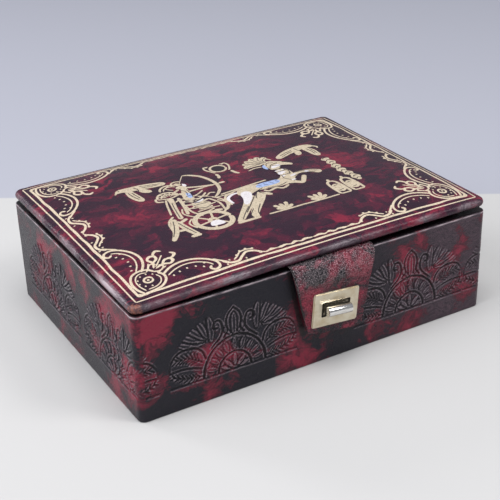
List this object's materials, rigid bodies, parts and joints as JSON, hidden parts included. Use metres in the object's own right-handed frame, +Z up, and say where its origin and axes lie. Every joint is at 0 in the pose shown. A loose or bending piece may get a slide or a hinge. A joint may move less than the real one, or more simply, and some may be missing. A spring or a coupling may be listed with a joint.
{
  "type": "leather jewellery case",
  "caption": "Leather-covered jewellery case with a padded hinged lid, a strap tab with a lock plate and a turn lock, velvet compartments, ring rolls and a mirror in the lid.",
  "frame": {"origin": "middle of the underside, on the table", "axes": "+X to the right along the front, +Y to the back, +Z up"},
  "size_m": [0.22, 0.1732, 0.0724],
  "materials": {
    "board": "sawn plywood",
    "case_leather": "marbled red and charcoal, embossed, satin",
    "lid_leather": "marbled wine red and charcoal with gold foil, semi-gloss",
    "tab_leather": "marbled, grained, satin",
    "lining_leather": "thin split leather, matt",
    "base_sheet": "dark leatherette",
    "velvet": "wine-red velvet on card",
    "cotton_tape": "woven tape",
    "foam": "thin foam",
    "plate_metal": "satin pale brass plate",
    "lock_base_metal": "satin plated",
    "bright_nickel": "polished nickel",
    "spring_steel": "plain spring steel",
    "mirror": "float glass mirror"
  },
  "bodies": {
    "case": {"base_board": "board", "front_board": "board", "back_board": "board", "left_board": "board", "right_board": "board", "case_leather": "case_leather", "base_cover": "base_sheet", "floor_lining": "velvet", "front_lining": "velvet", "back_lining": "velvet", "left_lining": "velvet", "right_lining": "velvet", "long_divider": "velvet", "front_divider": "velvet", "back_divider": "velvet", "ring_card": "velvet", "ring_rolls": "velvet", "hinge_case_strip": "case_leather", "hinge_tape": "cotton_tape", "lock_base": "lock_base_metal", "lock_base_rivets": "lock_base_metal", "spring_washer": "spring_steel"},
    "knob": {"turn_bar": "bright_nickel", "spindle": "bright_nickel", "spindle_clip": "spring_steel"},
    "lid": {"lid_board": "board", "lid_pad": "foam", "lid_leather": "lid_leather", "lid_lining": "velvet", "lid_mirror": "mirror", "hinge_lid_strip": "case_leather", "tab_tongue": "tab_leather"},
    "tab": {"tab_leather": "tab_leather", "tab_lining": "lining_leather", "lock_plate": "plate_metal", "counter_plate": "plate_metal", "plate_rivets": "plate_metal"}
  },
  "joints": [
    {"name": "lid_hinge", "type": "hinge", "parent": "case", "child": "lid", "pos_m": [0, 0.0815, 0.06225], "axis": [-1, 0, 0], "range_deg": [0, 100], "deforming": ["hinge_tape"]},
    {"name": "tab_bend", "type": "hinge", "parent": "lid", "child": "tab", "pos_m": [0.0045, -0.0823, 0.0624], "axis": [-1, 0, 0], "range_deg": [0, 95]},
    {"name": "knob_turn", "type": "hinge", "parent": "case", "child": "knob", "pos_m": [0.0045, -0.088, 0.034], "axis": [0, -1, 0], "range_deg": [0, 90]}
  ]
}
